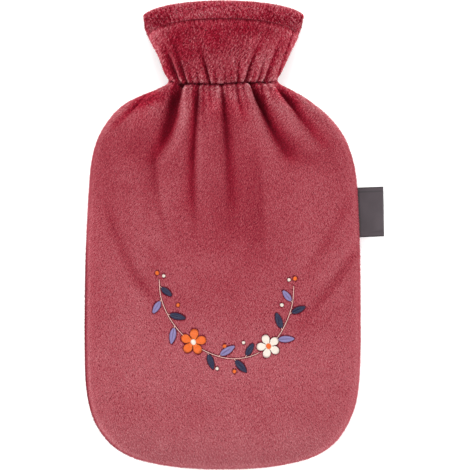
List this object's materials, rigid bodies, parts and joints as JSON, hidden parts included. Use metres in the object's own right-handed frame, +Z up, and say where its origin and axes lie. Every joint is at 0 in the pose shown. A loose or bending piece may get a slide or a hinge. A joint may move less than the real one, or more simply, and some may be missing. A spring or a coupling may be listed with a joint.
{
  "type": "hot water bottle cover",
  "caption": "Hollow plush cover for a hot water bottle: rounded flat body, gathered neck, flared open collar and a small side tab.",
  "frame": {"origin": "on the surface that the cover lies on, under the middle of its body", "axes": "+Y runs from the bottom edge to the collar, +Z up out of the front face, +X to the right seen face on"},
  "size_m": [0.216, 0.3372, 0.0394],
  "materials": {
    "plush_front": "dusty raspberry velour plush, short dense pile",
    "plush_back": "dusty raspberry velour plush, short dense pile",
    "woven_tab": "dark grey woven ribbon, folded once"
  },
  "bodies": {
    "root": {"front_panel": "plush_front", "back_panel": "plush_back", "side_label": "woven_tab"}
  },
  "joints": []
}
